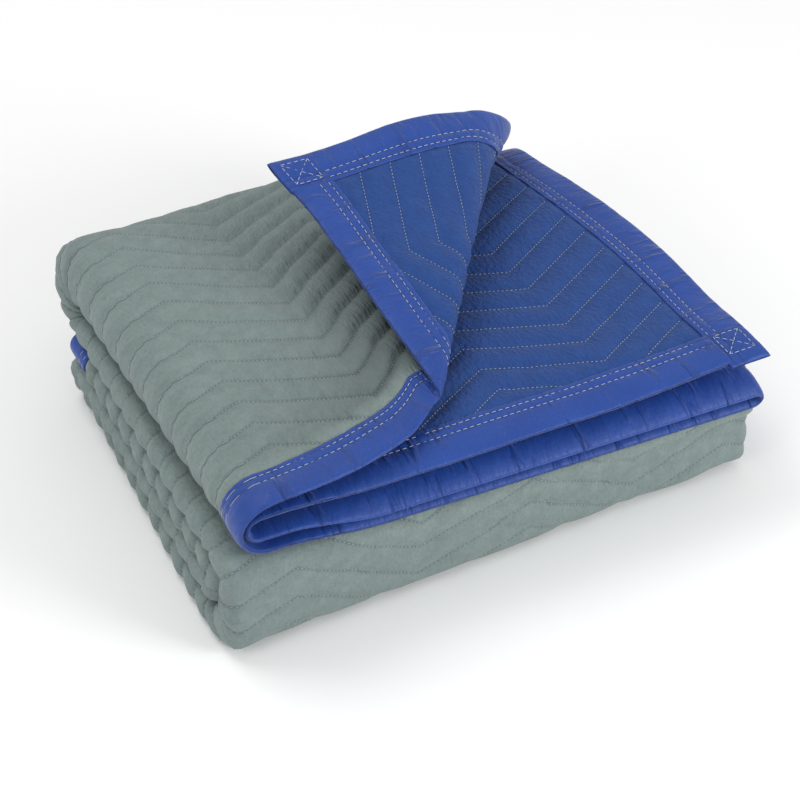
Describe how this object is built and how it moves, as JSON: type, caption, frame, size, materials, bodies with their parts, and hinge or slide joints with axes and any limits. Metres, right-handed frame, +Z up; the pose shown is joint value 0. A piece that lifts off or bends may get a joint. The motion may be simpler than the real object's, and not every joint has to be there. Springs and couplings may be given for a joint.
{
  "type": "moving blanket",
  "caption": "Quilted moving blanket, grey on one side and blue on the other, bound in blue tape, folded into a flat pad with one corner turned back.",
  "frame": {"origin": "middle of the underside's bounding rectangle, on the surface it lies on", "axes": "+Z up; the folded strip's long folds run along Y with the closed side fold at -X and the free bound edges at +X; the front binding of the top layer faces -Y and the top section's fold is at +Y"},
  "size_m": [0.5234, 0.4682, 0.2395],
  "materials": {
    "grey_cloth": "matt woven polyester, greenish grey on one face and blue on the other",
    "blue_tape": "matt woven binding tape, blue"
  },
  "bodies": {
    "root": {"quilted_cloth": "grey_cloth", "end_binding_top": "blue_tape", "end_binding_inside": "blue_tape", "side_binding_top_layer": "blue_tape", "side_binding_second_layer": "blue_tape"}
  },
  "joints": []
}
